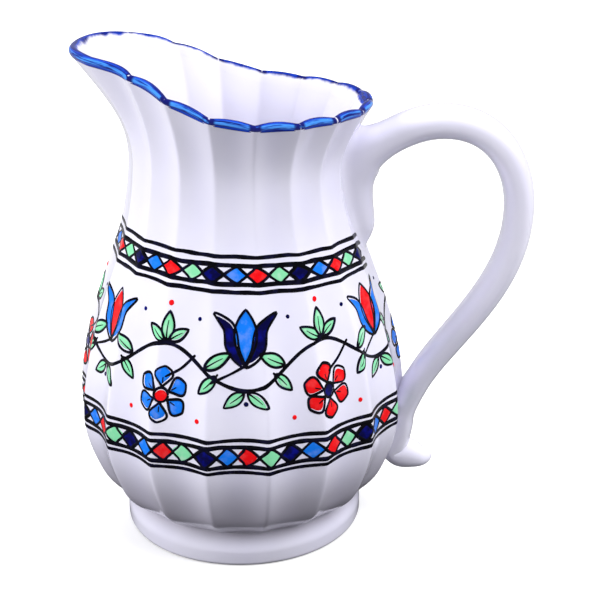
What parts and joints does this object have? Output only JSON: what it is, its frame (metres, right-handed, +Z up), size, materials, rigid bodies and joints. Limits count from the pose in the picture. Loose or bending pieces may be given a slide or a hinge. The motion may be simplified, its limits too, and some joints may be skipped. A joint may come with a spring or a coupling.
{
  "type": "jug",
  "caption": "Fluted earthenware jug with a flared foot, waisted neck, pulled pouring spout and a looped strap handle with a curled end.",
  "frame": {"origin": "middle of the flat standing ring of the foot, on the surface the jug stands on, on the axis of the body", "axes": "+Z up along the axis of the body, +X towards the handle, -X towards the spout, +Y by the right-hand rule"},
  "size_m": [0.2029, 0.1488, 0.2205],
  "materials": {
    "white_glaze": "gloss",
    "blue_glaze": "gloss",
    "border_enamel": "gloss"
  },
  "bodies": {
    "root": {"foot_ring": "white_glaze", "base_slab": "white_glaze", "belly_wall": "white_glaze", "neck_and_spout": "white_glaze", "blue_rim": "blue_glaze", "handle_upper_root": "white_glaze", "handle_strap": "white_glaze", "handle_lower_root": "white_glaze", "lower_border": "border_enamel", "upper_border": "border_enamel"}
  },
  "joints": []
}
